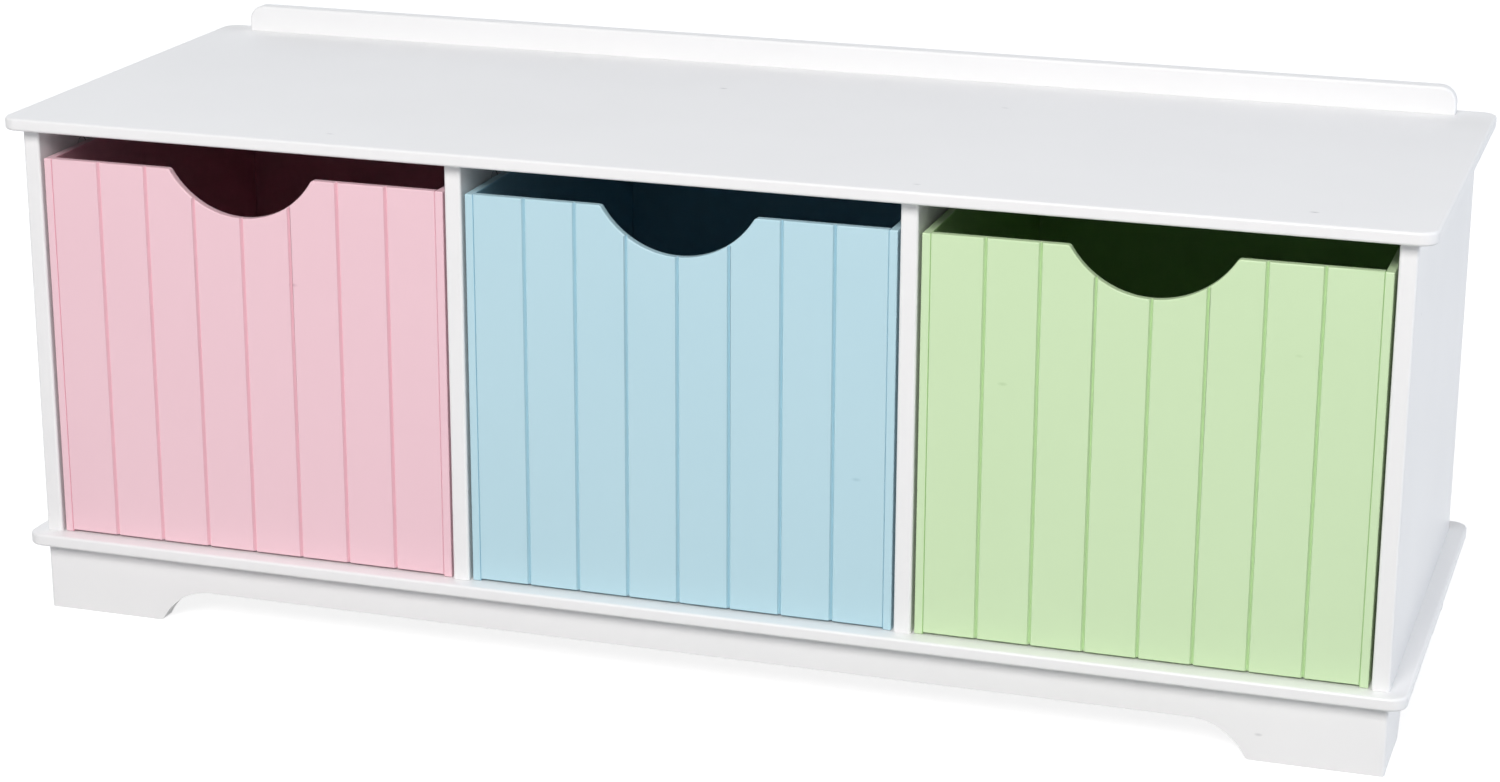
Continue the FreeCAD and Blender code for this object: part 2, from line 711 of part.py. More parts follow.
def make_bin_front(bin_name):
    """A bin's front: upright grooves and a half-round hand cut-out."""
    body = new_bin_body(bin_name, "front")
    half = "bin_inner_width / 2"
    add_slab(body, "y", "0", rectangle(f"-{half}", "board_lift", half, "bin_height"), "bin_board")
    sketch = sketch_across(body, "z", "board_lift")
    for index in range(1, count("groove_count") + 1):
        middle = f"{index} * bin_inner_width / (groove_count + 1) - {half}"
        mouth = [(f"{middle} - groove_width / 2", "0"), (f"{middle} + groove_width / 2", "0")]
        draw_outline(sketch, mouth + [(middle, "groove_depth")])
    pocket(body, sketch, "z", "bin_height - board_lift")
    reach = "cutout_width / 2"
    above = "bin_height + cutout_radius - cutout_depth"
    sketch = sketch_across(body, "y", "0")
    corners = rectangle(f"-{reach}", "bin_height", reach, "bin_height + overrun")
    draw_outline(sketch, corners, {0: ("0", above, "cutout_radius")})
    pocket(body, sketch, "y", "bin_board")
    ends = value(reach)
    top = value("bin_height")

    def at_lip(box):
        return runs_along(box, "y") and is_near(box.ZMax, top) and is_near(abs(box.XMin), ends)

    round_edges(body, at_lip, "cutout_corner_round")
    cut_end_holes(body, grid(["bin_board / 2"], pin_heights()))
    return body


def make_bin_back(bin_name):
    """A bin's back board, plain, as high as the front."""
    body = new_bin_body(bin_name, "back")
    half = "bin_inner_width / 2"
    corners = rectangle(f"-{half}", "board_lift", half, "bin_height")
    add_slab(body, "y", "bin_depth - bin_board", corners, "bin_board")
    cut_end_holes(body, grid(["bin_depth - bin_board / 2"], pin_heights()))
    return body


def make_bin_bottom(bin_name):
    """A bin's bottom board, between its four walls."""
    body = new_bin_body(bin_name, "bottom")
    half = "bin_inner_width / 2"
    corners = rectangle(f"-{half}", "bin_board", half, "bin_depth - bin_board")
    add_slab(body, "z", "board_lift", corners, "bin_bottom_thickness")
    cut_end_holes(body, grid(bottom_pin_rows(), ["board_lift + bin_bottom_thickness / 2"]))
    return body


def make_bin_side(bin_name, side, way):
    """One side board of a bin, which carries the bin on its lower edge."""
    body = new_bin_body(bin_name, f"{side}_side")
    outer = f"{way} * bin_width / 2"
    add_slab(body, "x", outer, rectangle("0", "0", "bin_depth", "bin_height"), "bin_board", -way)
    cut_holes(body, "x", outer, bin_pin_places(), "pin_diameter", "bin_board", -way)
    return body


def make_bin_pins(bin_name):
    """The pins through both side boards of a bin into its other boards."""
    body = new_bin_body(bin_name, "pins")
    for way in (-1, 1):
        add_rods(body, "x", f"{way} * bin_width / 2", bin_pin_places(), "pin_diameter", "pin_length", -way)
    return body


def make_bin(bin_name):
    """The six pieces of one bin."""
    return [
        make_bin_front(bin_name),
        make_bin_side(bin_name, "left", -1),
        make_bin_side(bin_name, "right", 1),
        make_bin_back(bin_name),
        make_bin_bottom(bin_name),
        make_bin_pins(bin_name),
    ]


def make_carcass():
    """The boards of the carcass and its fastenings."""
    boards = [make_top_panel(), make_base_panel(), make_back_rail(), make_back_panel()]
    boards += [make_upright(name) for name in UPRIGHTS]
    boards.append(make_long_skirt("front_skirt", "upright_front", "block_front_y", 1))
    boards.append(make_long_skirt("rear_skirt", "upright_back - skirt_thickness", "block_rear_y", -1))
    boards.append(make_side_skirt("left_skirt", "-carcass_width / 2", -1))
    boards.append(make_side_skirt("right_skirt", "carcass_width / 2 - skirt_thickness", 1))
    boards += [make_corner_block(corner) for corner in CORNERS]
    fastenings = [
        make_top_dowels(),
        make_cam_bolts(),
        make_cam_locks(),
        make_base_screws(),
        make_plinth_dowels(),
        make_block_screws(),
        make_rail_screws(),
        make_back_panel_nails(),
    ]
    return boards + fastenings


def check(bodies):
    """Stops if a feature failed, a pocket cut nothing or a shape is not sound."""
    for item in doc.Objects:
        if any(word in item.State for word in ("Invalid", "Error")):
            raise RuntimeError(f"{item.Name} failed: {item.State}")
        is_pocket = item.isDerivedFrom("PartDesign::Pocket")
        if is_pocket and item.Shape.Volume > item.BaseFeature.Shape.Volume - NEAR:
            raise RuntimeError(f"{item.Name} cuts nothing")
    for body in bodies:
        if body.Shape.isNull() or not body.Shape.isValid():
            raise RuntimeError(f"{body.Label} is not sound")


def write(bodies):
    """Writes each sub-part to its own file."""
    os.makedirs("parts", exist_ok=True)
    for body in bodies:
        body.Shape.exportStep(f"parts/{body.Label}.step")


fill_sheet()
fill_layout()
sub_parts = make_carcass()
for bin_name in BINS:
    sub_parts += make_bin(bin_name)
doc.recompute()
check(sub_parts)
write(sub_parts)
box = Part.makeCompound([body.Shape for body in sub_parts]).optimalBoundingBox(False, False)
print(f"{len(sub_parts)} sub-parts, {box.XLength:.2f} x {box.YLength:.2f} x {box.ZLength:.2f} mm")
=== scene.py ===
"""Looks of the low storage bench: a white carcass, and a pastel bin that slides out of each of its bays.

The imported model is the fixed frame, in metres: x across the bench, y from its front to its back, z up
from the floor. Each board is built anew inside the box of the node that it stands for, with the eased
edges of a sanded and sprayed board, and each screw, nail, pin and lock at the place of its own solid.
"""

import json
import logging
import math
from collections.abc import Iterable
from dataclasses import dataclass
from enum import Enum
from typing import Any

import bmesh
import bpy
from bmesh.types import BMEdge, BMesh, BMFace, BMVert
from bpy.types import Material, Node, NodeSocket, NodeTree
from mathutils import Matrix, Vector

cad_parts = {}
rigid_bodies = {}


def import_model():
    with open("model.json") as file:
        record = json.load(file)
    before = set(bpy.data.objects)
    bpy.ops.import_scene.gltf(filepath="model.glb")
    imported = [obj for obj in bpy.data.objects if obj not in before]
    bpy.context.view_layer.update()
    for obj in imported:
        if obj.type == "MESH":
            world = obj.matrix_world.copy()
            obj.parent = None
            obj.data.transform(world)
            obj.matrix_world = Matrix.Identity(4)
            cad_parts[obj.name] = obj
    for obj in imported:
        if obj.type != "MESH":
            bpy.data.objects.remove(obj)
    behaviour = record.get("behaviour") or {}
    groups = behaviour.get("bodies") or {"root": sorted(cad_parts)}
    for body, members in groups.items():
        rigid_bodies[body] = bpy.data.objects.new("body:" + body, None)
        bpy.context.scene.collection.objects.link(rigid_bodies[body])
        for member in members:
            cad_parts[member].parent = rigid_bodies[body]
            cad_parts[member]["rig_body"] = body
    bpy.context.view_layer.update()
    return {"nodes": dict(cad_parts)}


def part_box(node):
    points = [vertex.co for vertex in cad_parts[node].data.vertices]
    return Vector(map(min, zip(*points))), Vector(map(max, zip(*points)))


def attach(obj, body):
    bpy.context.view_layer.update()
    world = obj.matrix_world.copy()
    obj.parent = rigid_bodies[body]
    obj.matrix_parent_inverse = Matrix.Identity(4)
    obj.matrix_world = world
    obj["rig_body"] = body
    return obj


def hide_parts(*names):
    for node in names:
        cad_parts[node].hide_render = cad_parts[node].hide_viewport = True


frame: dict[str, Any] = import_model()
LOG = logging.getLogger("storage_bench")

MM = 0.001
UP = Vector((0, 0, 1))
# Points nearer to each other than this lie at one level.
NEAR = 0.01 * MM
# Least shares of an edge, and of a face's normal, that lie along an axis when it runs or looks that way.
ALONG_SHARE = 0.99999
FACING_SHARE = 0.5
# A board's edge is still square when it turns more than the first angle. The second splits its shading.
SQUARE_ANGLE = math.radians(60)
SHARP_ANGLE = math.radians(35)
# Numbers of flats that make the rounds of the boards, from the smallest round to the largest.
EASE_FLATS = 2
EDGE_FLATS = 3
ROUND_FLATS = 4
CORNER_FLATS = 10
# The curve of sRGB, which is straight below its knee.
SRGB_KNEE = 0.04045
SRGB_SLOPE = 12.92
SRGB_LIFT = 0.055
SRGB_POWER = 2.4
# Numbers of a mix node's sockets for colours: the share of the second one, the two, and their mix.
MIX_SHARE = 0
MIX_FIRST = 6
MIX_SECOND = 7
MIX_RESULT = 2


class Axis(Enum):
    """The ways that boards run: across the bench, through it from front to back, and up."""

    ACROSS = 0
    DEEP = 1
    UP = 2

    @property
    def vector(self) -> Vector:
        """The axis as a unit vector."""
        return Vector(tuple(float(index == self.value) for index in range(3)))


class Side(Enum):
    """The sides of a bin and of the bench, as they are seen from the front."""

    LEFT = "left"
    RIGHT = "right"

    @property
    def inward(self) -> Vector:
        """The way from this side to the middle, as a unit vector."""
        return Axis.ACROSS.vector if self is Side.LEFT else -Axis.ACROSS.vector


# Nodes of the materials

def linear_colour(code: str) -> tuple[float, float, float, float]:
    """Turns an sRGB colour into the linear one that a shader takes.

    Args:
        code: the colour as a hash and six hex digits.

    Returns:
        Red, green and blue from 0 to 1, and an alpha of 1.
    """
    shares = [value / 255 for value in bytes.fromhex(code[1:])]
    red, green, blue = (
        share / SRGB_SLOPE if share <= SRGB_KNEE else ((share + SRGB_LIFT) / (1 + SRGB_LIFT)) ** SRGB_POWER
        for share in shares
    )
    return red, green, blue, 1.0


def per_metre(size_mm: float) -> float:
    """Gives the scale of a pattern, on coordinates in metres, whose features have a size in millimetres."""
    return 1 / (size_mm * MM)


def add_node(
    tree: NodeTree, kind: str, inputs: dict[str | int, Any] | None = None, **settings: Any
) -> Node:
    """Adds a node with its settings, and feeds its inputs.

    Args:
        tree: the node tree of a material or of the world.
        kind: the node's type name.
        inputs: by an input's name or number, the socket to link to it or the value to set.
        settings: the node's own properties.

    Returns:
        The node.
    """
    node = tree.nodes.new(kind)
    for name, value in settings.items():
        setattr(node, name, value)
    for key, value in (inputs or {}).items():
        if isinstance(value, NodeSocket):
            tree.links.new(value, node.inputs[key])
        else:
            node.inputs[key].default_value = value
    return node


@dataclass(frozen=True)
class Mottle:
    """Two colours that run into each other in clouds, fibres or grain.

    size_mm is the size of its features, detail how finely they break up, and distortion how far they are
    drawn about.
    """

    size_mm: float
    detail: float
    distortion: float = 0.0

    def lay(
        self, tree: NodeTree, place: NodeSocket, first: str, second: str
    ) -> tuple[NodeSocket, NodeSocket]:
        """Lays the pattern, and mixes two colours by it.

        Args:
            tree: the material's node tree.
            place: the point at which it is laid, in metres.
            first: the colour where the pattern is 0.
            second: the colour where it is 1.

        Returns:
            The pattern, from 0 to 1, and the mixed colour.
        """
        scale = per_metre(self.size_mm)
        noise = add_node(
            tree,
            "ShaderNodeTexNoise",
            {"Vector": place, "Scale": scale, "Detail": self.detail, "Distortion": self.distortion},
        )
        pattern = noise.outputs[0]
        mixed = add_node(
            tree,
            "ShaderNodeMix",
            {MIX_SHARE: pattern, MIX_FIRST: linear_colour(first), MIX_SECOND: linear_colour(second)},
            data_type="RGBA",
        )
        return pattern, mixed.outputs[MIX_RESULT]


@dataclass(frozen=True)
class Finish:
    """A real material and how its surface was made.

    name is the material's own name, and slot the record's slot that it belongs to.
    """

    name: str
    slot: str

    def material(self) -> Material:
        """Gives the finish as a material, which is made once.

        Returns:
            The material.
        """
        made = bpy.data.materials.get(self.name)
        if made is None:
            made = bpy.data.materials.new(self.name)
            made.use_nodes = True
            tree = made.node_tree
            tree.nodes.clear()
            place = add_node(tree, "ShaderNodeTexCoord").outputs["Object"]
            add_node(tree, "ShaderNodeOutputMaterial", {"Surface": self.shade(tree, place)})
        return made

    def shade(self, tree: NodeTree, place: NodeSocket) -> NodeSocket:
        """Builds the finish's own nodes, on points in metres, and gives the shader for the output."""
        raise NotImplementedError


@dataclass(frozen=True)
class Lacquer(Finish):
    """Satin lacquer, sprayed on fibreboard and sanded between coats.

    It gives the eye an even colour with faint clouds where the coat is thinner, a soft broad sheen, a few
    small scuffs from handling and, close up, the fine dimples of spray that has flowed out.
    """

    colour: str
    thin_colour: str
    scuff_colour: str
    clouds: Mottle = Mottle(size_mm=120, detail=3.0)
    dimple_mm: float = 4
    dimple_detail: float = 1.0
    dimple_depth_mm: float = 0.005
    smoothest: float = 0.29
    roughest: float = 0.39
    scuff_mm: float = 1.6
    scuff_spacing_mm: float = 45
    scuff_stretch: float = 2.5
    ior: float = 1.5

    def shade(self, tree: NodeTree, place: NodeSocket) -> NodeSocket:
        """Builds the lacquer: clouds in its colour and gloss, scuffs, and dimples in its relief.

        A scuff shows where the surface passes close to a point of those scattered in space, so they are few.

        Args:
            tree: the material's node tree.
            place: the point on the piece, in metres.

        Returns:
            The lacquer's shader.
        """
        clouds, colour = self.clouds.lay(tree, place, self.colour, self.thin_colour)
        dimples = add_node(
            tree,
            "ShaderNodeTexNoise",
            {"Vector": place, "Scale": per_metre(self.dimple_mm), "Detail": self.dimple_detail},
        )
        stretched = add_node(
            tree, "ShaderNodeMapping", {"Vector": place, "Scale": (1 / self.scuff_stretch, 1.0, 1.0)}
        )
        points = add_node(
            tree,
            "ShaderNodeTexVoronoi",
            {"Vector": stretched.outputs[0], "Scale": per_metre(self.scuff_spacing_mm)},
        )
        reach = self.scuff_mm / self.scuff_spacing_mm
        scuffs = add_node(
            tree,
            "ShaderNodeMapRange",
            {"Value": points.outputs["Distance"], "From Max": reach, "To Min": 1.0, "To Max": 0.0},
        )
        worn = linear_colour(self.scuff_colour)
        marked = add_node(
            tree,
            "ShaderNodeMix",
            {MIX_SHARE: scuffs.outputs[0], MIX_FIRST: colour, MIX_SECOND: worn},
            data_type="RGBA",
        )
        gloss = add_node(
            tree, "ShaderNodeMapRange", {"Value": clouds, "To Min": self.smoothest, "To Max": self.roughest}
        )
        relief = add_node(
            tree,
            "ShaderNodeBump",
            {"Height": dimples.outputs[0], "Distance": self.dimple_depth_mm * MM, "Strength": 1.0},
        )
        coat = add_node(
            tree,
            "ShaderNodeBsdfPrincipled",
            {
                "Base Color": marked.outputs[MIX_RESULT],
                "Roughness": gloss.outputs[0],
                "Normal": relief.outputs[0],
                "IOR": self.ior,
            },
        )
        return coat.outputs[0]


@dataclass(frozen=True)
class Hardboard(Finish):
    """Hardboard pressed from brown wood fibre on a wire screen.

    It gives the eye a dull mid-brown with darker and lighter fibres, and the print of the screen in its
    rough side.
    """

    colour: str
    fibre_colour: str
    fibres: Mottle = Mottle(size_mm=6, detail=6.0, distortion=1.5)
    screen_mm: float = 5
    screen_depth_mm: float = 0.25
    screen_strength: float = 0.8
    roughness: float = 0.75
    ior: float = 1.45

    def shade(self, tree: NodeTree, place: NodeSocket) -> NodeSocket:
        """Builds the hardboard: fibres in the colour, and the screen's print in the relief.

        The real screen has about 2 mm between its wires, which is too fine to show, so it is drawn coarser.

        Args:
            tree: the material's node tree.
            place: the point on the piece, in metres.

        Returns:
            The hardboard's shader.
        """
        _, colour = self.fibres.lay(tree, place, self.colour, self.fibre_colour)
        # At a scale of 1 the bands of a wave texture lie a tenth of pi apart.
        scale = math.pi / 10 * per_metre(self.screen_mm)
        wires = [
            add_node(tree, "ShaderNodeTexWave", {"Vector": place, "Scale": scale}, bands_direction=way)
            for way in ("X", "Z")
        ]
        screen = add_node(
            tree,
            "ShaderNodeMath",
            {index: wire.outputs["Fac"] for index, wire in enumerate(wires)},
            operation="MULTIPLY",
        )
        depth = self.screen_depth_mm * MM
        relief = add_node(
            tree,
            "ShaderNodeBump",
            {"Height": screen.outputs[0], "Distance": depth, "Strength": self.screen_strength},
        )
        board = add_node(
            tree,
            "ShaderNodeBsdfPrincipled",
            {
                "Base Color": colour,
                "Roughness": self.roughness,
                "Normal": relief.outputs[0],
                "IOR": self.ior,
            },
        )
        return board.outputs[0]


@dataclass(frozen=True)
class BareWood(Finish):
    """Sawn or turned wood without a coat.

    It gives the eye pale wood with darker bands of grain along its length, and a dry, dull surface.
    """

    colour: str
    grain_colour: str
    grain: Mottle
    roughness: float
    grain_along_share: float = 0.12
    grain_depth_mm: float = 0.05

    def shade(self, tree: NodeTree, place: NodeSocket) -> NodeSocket:
        """Builds the wood: bands of grain, drawn out along x, in the colour and the relief.

        Args:
            tree: the material's node tree.
            place: the point on the piece, in metres.

        Returns:
            The wood's shader.
        """
        drawn_out = add_node(
            tree, "ShaderNodeMapping", {"Vector": place, "Scale": (self.grain_along_share, 1.0, 1.0)}
        )
        grain, colour = self.grain.lay(tree, drawn_out.outputs[0], self.colour, self.grain_colour)
        relief = add_node(
            tree,
            "ShaderNodeBump",
            {"Height": grain, "Distance": self.grain_depth_mm * MM, "Strength": 1.0},
        )
        wood = add_node(
            tree,
            "ShaderNodeBsdfPrincipled",
            {"Base Color": colour, "Roughness": self.roughness, "Normal": relief.outputs[0]},
        )
        return wood.outputs[0]


@dataclass(frozen=True)
class Metal(Finish):
    """Small metal ware, plated in a barrel or cast.

    It gives the eye a grey metal, cloudy where the plate or the skin of the casting is duller.
    """

    colour: str
    dull_colour: str
    clouds: Mottle
    smoothest: float
    roughest: float

    def shade(self, tree: NodeTree, place: NodeSocket) -> NodeSocket:
        """Builds the metal: clouds in the colour and in the gloss.

        Args:
            tree: the material's node tree.
            place: the point on the piece, in metres.

        Returns:
            The metal's shader.
        """
        clouds, colour = self.clouds.lay(tree, place, self.colour, self.dull_colour)
        gloss = add_node(
            tree, "ShaderNodeMapRange", {"Value": clouds, "To Min": self.smoothest, "To Max": self.roughest}
        )
        metal = add_node(
            tree,
            "ShaderNodeBsdfPrincipled",
            {"Base Color": colour, "Roughness": gloss.outputs[0], "Metallic": 1.0},
        )
        return metal.outputs[0]


# White lacquer, the carcass: clean neutral boards with a soft sheen, and a few grey scuffs.
WHITE = Lacquer("white_satin_lacquer_sprayed", "white_paint", "#F3F3F3", "#EFEFEF", "#A9AAAD")
# Pastel lacquers, the bins: chalky pink, pale sky blue and apple green, even all over, with faint scuffs.
PINK = Lacquer("pink_satin_lacquer_sprayed", "pink_paint", "#F2CCD5", "#EFC7D1", "#DDB2BD")
BLUE = Lacquer("blue_satin_lacquer_sprayed", "blue_paint", "#BCDCE6", "#B7D9E4", "#A3C9D5")
GREEN = Lacquer("green_satin_lacquer_sprayed", "green_paint", "#CFE7BC", "#CBE4B7", "#B8D5A2")
# The insides of the bins: painted shade, a deeper tone of each bin's colour than its front, which darkens
# and colours the inside as shade would.
PINK_INSIDE_SHADE = Lacquer("pink_satin_lacquer_painted_shade", "pink_paint", "#EDB2C0", "#E9ABBA", "#D29AA8")
BLUE_INSIDE_SHADE = Lacquer("blue_satin_lacquer_painted_shade", "blue_paint", "#9DCADC", "#97C6D9", "#85B4C7")
GREEN_INSIDE_SHADE = Lacquer("green_satin_lacquer_painted_shade", "green_paint", "#B6DC9A", "#B0D893", "#9EC582")
# Hardboard, the back: dull brown with flecks of fibre, and the print of a screen that breaks up its shine.
SCREEN_BACK = Hardboard("brown_hardboard_pressed", "hardboard", "#8A6A4B", "#6B4E35")
# Pine, the glue blocks: warm yellow wood with broad bands, rough from the saw.
PINE_GRAIN = Mottle(size_mm=3.0, detail=4.0, distortion=0.6)
PINE = BareWood("pine_sawn", "pine_block", "#DDBE8C", "#C49A63", PINE_GRAIN, roughness=0.65)
# Beech, the dowels: pinkish tan wood with a close grain, smoother because it is turned.
BEECH_GRAIN = Mottle(size_mm=1.2, detail=4.0, distortion=0.6)
BEECH = BareWood("beech_turned", "beech_dowel", "#D9B58B", "#C79F74", BEECH_GRAIN, roughness=0.55)
# Plated steel, the screws, bolts and nails: bright, cool grey with clear highlights.
PLATE = Mottle(size_mm=4.0, detail=4.0)
STEEL = Metal("steel_zinc_plated", "zinc_plated_steel", "#C9CCD0", "#AEB2B8", PLATE, 0.22, 0.38)
# Cast zinc, the cam locks: darker grey with blurred highlights.
CASTING_SKIN = Mottle(size_mm=3.0, detail=4.0)
ZINC = Metal("zinc_die_cast", "die_cast_zinc", "#A9ABAF", "#8F9296", CASTING_SKIN, 0.40, 0.56)


# Shaping of the boards

def new_board(node: str) -> tuple[BMesh, Vector, Vector]:
    """Starts a board as the box of its node.

    Args:
        node: the board's node.

    Returns:
        The board's mesh, and the lowest and the highest corner of the box.
    """
    low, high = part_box(node)
    board = bmesh.new()
    bmesh.ops.create_cube(board, size=1.0)
    bmesh.ops.scale(board, vec=high - low, verts=board.verts)
    bmesh.ops.translate(board, vec=(low + high) / 2, verts=board.verts)
    return board, low, high


def edges_at(board: BMesh, axis: Axis, *levels: float) -> list[BMEdge]:
    """Finds the edges of a board that lie at one of some levels of an axis.

    Args:
        board: the board's mesh.
        axis: the axis to measure along.
        levels: the levels on that axis.

    Returns:
        The edges, both of whose ends are at the same one of the levels.
    """
    return [
        edge
        for level in levels
        for edge in board.edges
        if all(abs(vert.co[axis.value] - level) < NEAR for vert in edge.verts)
    ]


def edges_along(edges: Iterable[BMEdge], axis: Axis) -> list[BMEdge]:
    """Keeps the edges that run straight along an axis.

    Args:
        edges: the edges to choose from.
        axis: the axis that they run along.

    Returns:
        The edges that do.
    """
    return [
        edge
        for edge in edges
        if abs((edge.verts[1].co - edge.verts[0].co).normalized()[axis.value]) > ALONG_SHARE
    ]


def sharp_edges(board: BMesh) -> list[BMEdge]:
    """Finds the edges of a board that are still square."""
    return [edge for edge in board.edges if edge.calc_face_angle(0.0) > SQUARE_ANGLE]


def round_over(board: BMesh, edges: list[BMEdge], radius: float, flats: int = ROUND_FLATS) -> None:
    """Rounds edges of a board.

    Args:
        board: the board's mesh.
        edges: the edges to round.
        radius: how far the round reaches from the edge.
        flats: the number of flats that make the round.
    """
    bmesh.ops.bevel(
        board,
        geom=edges,
        offset=radius,
        offset_type="OFFSET",
        segments=flats,
        profile=0.5,
        affect="EDGES",
        material=-1,
        clamp_overlap=True,
    )


class Outline:
    """A closed outline of straight runs and arcs, drawn point by point and padded to a board."""

    def __init__(self, start: Vector) -> None:
        """Starts the outline.

        Args:
            start: its first point.
        """
        self.board: BMesh = bmesh.new()
        self.first: BMVert = self.board.verts.new(start)
        self.last: BMVert = self.first
        self.corners: list[BMVert] = []

    def line_to(self, point: Vector) -> None:
        """Draws a straight run to a point."""
        start, self.last = self.last, self.board.verts.new(point)
        self.board.edges.new((start, self.last))

    def arc_about(self, centre: Vector, axis: Vector, angle: float, flats: int) -> None:
        """Draws an arc from the last point.

        Args:
            centre: the arc's centre.
            axis: the axis that the arc turns about.
            angle: how far it turns, in radians.
            flats: the number of flats that make the arc.
        """
        turned = bmesh.ops.spin(
            self.board,
            geom=[self.last],
            cent=centre,
            axis=axis,
            angle=angle,
            steps=flats,
            use_duplicate=False,
        )
        self.last = next(item for item in turned["geom_last"] if isinstance(item, BMVert))

    def mark_corner(self) -> None:
        """Notes the last point as a corner that is rounded later."""
        self.corners.append(self.last)

    def padded(self, offset: Vector, corner_reach: float, corner_flats: int) -> BMesh:
        """Closes the outline, rounds its marked corners and pads it.

        Args:
            offset: the way and the distance to pad.
            corner_reach: how far along its runs a marked corner's round starts.
            corner_flats: the number of flats that make that round.

        Returns:
            The board's mesh.
        """
        self.board.edges.new((self.last, self.first))
        bmesh.ops.contextual_create(self.board, geom=self.board.edges[:])
        bmesh.ops.bevel(
            self.board,
            geom=self.corners,
            offset=corner_reach,
            offset_type="OFFSET",
            segments=corner_flats,
            profile=0.5,
            affect="VERTICES",
            material=-1,
        )
        grown = bmesh.ops.extrude_face_region(self.board, geom=self.board.faces[:])
        moved = [item for item in grown["geom"] if isinstance(item, BMVert)]
        bmesh.ops.translate(self.board, vec=offset, verts=moved)
        bmesh.ops.recalc_face_normals(self.board, faces=self.board.faces[:])
        return self.board


def install(shape: BMesh, node: str, finishes: list[Finish]) -> None:
    """Turns a finished shape into a piece that stands for a node and moves with its body.

    Args:
        shape: the piece's mesh, in its place, which is used up.
        node: the node that the piece stands for.
        finishes: the piece's finishes, in the order of its faces' material numbers.
    """
    bmesh.ops.recalc_face_normals(shape, faces=shape.faces[:])
    for face in shape.faces:
        face.smooth = True
    mesh = bpy.data.meshes.new(f"{node}_finished")
    shape.to_mesh(mesh)
    shape.free()
    mesh.set_sharp_from_angle(angle=SHARP_ANGLE)
    for finish in finishes:
        mesh.materials.append(finish.material())
    piece = bpy.data.objects.new(mesh.name, mesh)
    bpy.context.scene.collection.objects.link(piece)
    flat_faces = piece.modifiers.new("flat_faces_stay_flat", "WEIGHTED_NORMAL")
    flat_faces.keep_sharp = True
    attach(piece, frame["nodes"][node]["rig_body"])
    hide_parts(node)
    LOG.info("%s: %d faces", piece.name, len(mesh.polygons))


# Shaping of the small ware

def solids_of(node: str) -> list[tuple[Vector, Vector]]:
    """Finds the separate solids in a node.

    Args:
        node: a node that holds several solids, such as a set of screws.

    Returns:
        The middle and the size of each solid's box, from the bench's left to its right.
    """
    merged = bmesh.new()
    merged.from_mesh(frame["nodes"][node].data)
    bmesh.ops.remove_doubles(merged, verts=merged.verts[:], dist=NEAR)
    left = set(merged.verts)
    boxes = []
    while left:
        reached = [left.pop()]
        for vert in reached:
            linked = {edge.other_vert(vert) for edge in vert.link_edges} & left
            left -= linked
            reached.extend(linked)
        levels = list(zip(*(vert.co for vert in reached)))
        low = Vector(map(min, levels))
        high = Vector(map(max, levels))
        boxes.append(((low + high) / 2, high - low))
    merged.free()
    return sorted(boxes, key=lambda box: box[0][:])


def add_rod(ware: BMesh, top: float, length: float, diameters: tuple[float, float], flats: int) -> None:
    """Adds a rod or a cone that stands on the axis of a piece of ware.

    Args:
        ware: the mesh to add it to.
        top: the height of its upper end.
        length: its length.
        diameters: its diameters at its lower and at its upper end.
        flats: the number of flats round it.
    """
    lower, upper = diameters
    bmesh.ops.create_cone(
        ware,
        cap_ends=True,
        segments=flats,
        radius1=lower / 2,
        radius2=upper / 2,
        depth=length,
        matrix=Matrix.Translation((0, 0, top - length / 2)),
    )


def set_ware(row: BMesh, ware: BMesh, head: Vector, out: Vector) -> None:
    """Adds a piece of ware to a row of such pieces, in its place.

    Args:
        row: the mesh of the row.
        ware: the mesh of the piece, made at the origin with its head up, which is used up.
        head: where its head goes.
        out: the way that its head faces.
    """
    turn = UP.rotation_difference(out).to_matrix().to_4x4()
    ware.transform(Matrix.Translation(head) @ turn)
    pattern = bpy.data.meshes.new("pattern")
    ware.to_mesh(pattern)
    ware.free()
    row.from_mesh(pattern)
    bpy.data.meshes.remove(pattern)


@dataclass(frozen=True)
class DomedHead:
    """The low domed head of a nail, or of a pin that is filled and painted over.

    flats and rings are the numbers of flats round the dome and of bands from its top to its bottom.
    """

    height: float
    flats: int
    rings: int
    shank_flats: int = 10

    def pin(self, shank: float, diameter: float, head: float) -> BMesh:
        """Makes a pin that points down from the origin, with the head on top.

        Args:
            shank: its shank's length.
            diameter: its shank's diameter.
            head: its head's diameter.

        Returns:
            The pin's mesh.
        """
        ware = bmesh.new()
        add_rod(ware, 0, shank, (diameter, diameter), self.shank_flats)
        dome = bmesh.ops.create_uvsphere(ware, u_segments=self.flats, v_segments=self.rings, radius=head / 2)
        flattened = Matrix.Diagonal((1, 1, 2 * self.height / head, 1))
        bmesh.ops.transform(ware, matrix=flattened, verts=dome["verts"])
        return ware


# Parts of the bench

